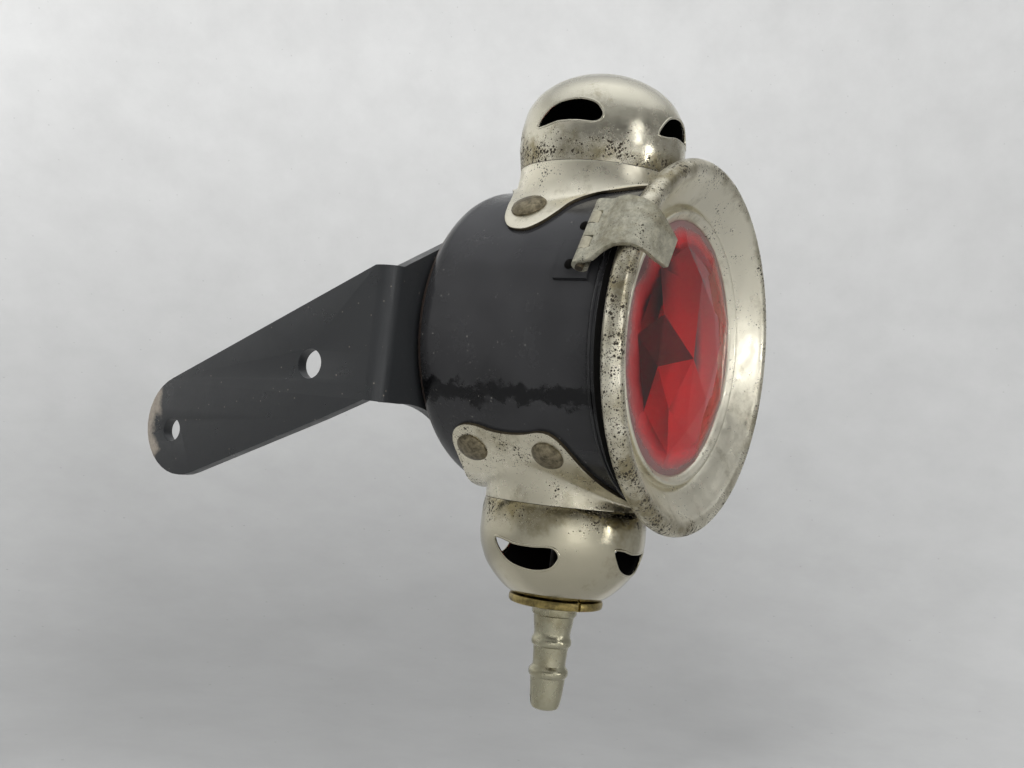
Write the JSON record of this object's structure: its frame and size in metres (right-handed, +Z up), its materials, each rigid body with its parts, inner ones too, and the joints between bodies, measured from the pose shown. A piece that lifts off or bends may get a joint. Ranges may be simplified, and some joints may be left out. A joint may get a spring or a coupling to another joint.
{
  "type": "tail lamp",
  "caption": "Small acetylene tail lamp: round black drum with a hinged ruby glass door, domed chimney, air cup with hose nozzle and a cranked strip bracket.",
  "frame": {"origin": "centre of the bracket's larger bolt hole, halfway through the strip", "axes": "+X along the bolt hole, from the arm toward the drum; +Z up the chimney; the red glass faces -Y and the arm reaches back along +Y"},
  "size_m": [0.075, 0.115, 0.1312],
  "materials": {
    "stove_enamel": "glossy black stove enamel, worn",
    "nickel_plate": "old nickel plate on brass, dull and pitted",
    "tinned_steel": "dull tinned steel",
    "brass": "dull brass",
    "steatite": "fired steatite, matt",
    "packing": "soft packing cord",
    "ruby_glass": "deep red pressed glass, faceted"
  },
  "bodies": {
    "lamp": {"drum_body": "stove_enamel", "mouth_ring": "stove_enamel", "top_saddle": "nickel_plate", "chimney_dome": "nickel_plate", "chimney_baffle": "tinned_steel", "bottom_saddle": "nickel_plate", "intake_cup": "nickel_plate", "air_plate": "tinned_steel", "top_rivets": "nickel_plate", "bottom_rivets": "nickel_plate", "bracket_arm": "stove_enamel", "back_stiffener": "tinned_steel", "bracket_rivets": "stove_enamel", "lock_ring": "brass", "hose_nozzle": "nickel_plate", "nozzle_nut": "brass", "gas_tube": "brass", "burner_holder": "brass", "burner_tip": "steatite", "hinge_leaf": "stove_enamel", "hinge_leaf_rivets": "stove_enamel", "hinge_pin": "brass"},
    "door": {"hinge_strap": "nickel_plate", "door_rim": "nickel_plate", "door_skirt": "tinned_steel", "glass_cell": "brass", "glass_spring_ring": "tinned_steel", "glass_packing": "packing", "ruby_glass": "ruby_glass"}
  },
  "joints": [
    {"name": "door_swing", "type": "hinge", "parent": "lamp", "child": "door", "pos_m": [0.00639, -0.0564, 0.02721], "axis": [-0.4772, 0, -0.8788], "range_deg": [0, 110]}
  ]
}
